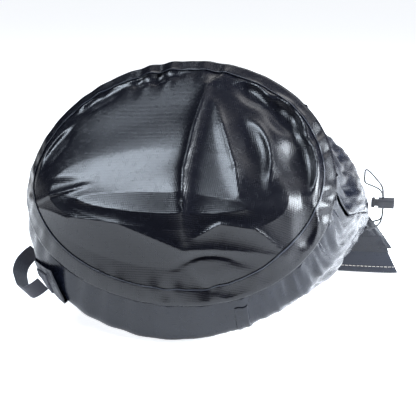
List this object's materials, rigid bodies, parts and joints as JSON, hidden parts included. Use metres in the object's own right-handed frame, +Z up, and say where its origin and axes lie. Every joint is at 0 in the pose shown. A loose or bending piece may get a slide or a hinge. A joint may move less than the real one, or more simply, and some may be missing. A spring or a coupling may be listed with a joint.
{
  "type": "dry bag",
  "caption": "Large round-based tarpaulin dry bag, slack on its side wall with the base up, with corded mouth, stiffened hem and a webbing side handle.",
  "frame": {"origin": "middle of the footprint on the floor, under the bag without its free cord and lock", "axes": "+Z up from the floor, +X along the flattened mouth, -Y towards the side where the base panel faces"},
  "size_m": [0.552, 0.3959, 0.3217],
  "materials": {
    "tarpaulin": "glossy coated fabric with a fine square scrim",
    "webbing": "woven, dull",
    "hem": "satin coated tape",
    "thread": "bonded sewing thread",
    "black_thread": "bonded sewing thread",
    "cord": "braided",
    "lock_plastic": "moulded",
    "stiffener": "plain strip",
    "spring_steel": "bright"
  },
  "bodies": {
    "bag": {"side_wall": "tarpaulin", "base_panel": "tarpaulin", "rim_margin": "tarpaulin", "side_lap_strip": "tarpaulin", "cord_channel": "tarpaulin", "handle_patches": "tarpaulin", "handle_ends": "webbing", "handle_bar_tacks": "black_thread", "closing_cord": "cord", "cord_tail": "cord"},
    "hem": {"hem_band": "hem", "hem_facing": "hem", "hem_stiffener_front": "stiffener", "hem_stiffener_back": "stiffener", "hem_stitching": "thread"},
    "handle": {"handle_webbing": "webbing"},
    "cord_lock": {"cord_lock_body": "lock_plastic", "cord_lock_spring": "spring_steel"},
    "lock_button": {"cord_lock_button": "lock_plastic"}
  },
  "joints": [
    {"name": "hem_fold", "type": "hinge", "parent": "bag", "child": "hem", "pos_m": [0, 0.1695, 0.038], "axis": [1, 0, 0], "range_deg": [0, 110], "stiffness_Nm_per_rad": 0.3},
    {"name": "handle_swing", "type": "hinge", "parent": "bag", "child": "handle", "pos_m": [-0.182, -0.082, 0.062], "axis": [0.4416, -0.883, -0.1589], "range_deg": [-22, 20]},
    {"name": "lock_slide", "type": "slide", "parent": "bag", "child": "cord_lock", "axis": [0, 0, 1], "range_m": [-0.007, 0.004]},
    {"name": "button_press", "type": "slide", "parent": "cord_lock", "child": "lock_button", "axis": [1, 0, 0], "range_m": [0, 0.004], "stiffness_N_per_m": 400, "springref_m": -0.002, "deforming": ["cord_lock_spring"]}
  ]
}
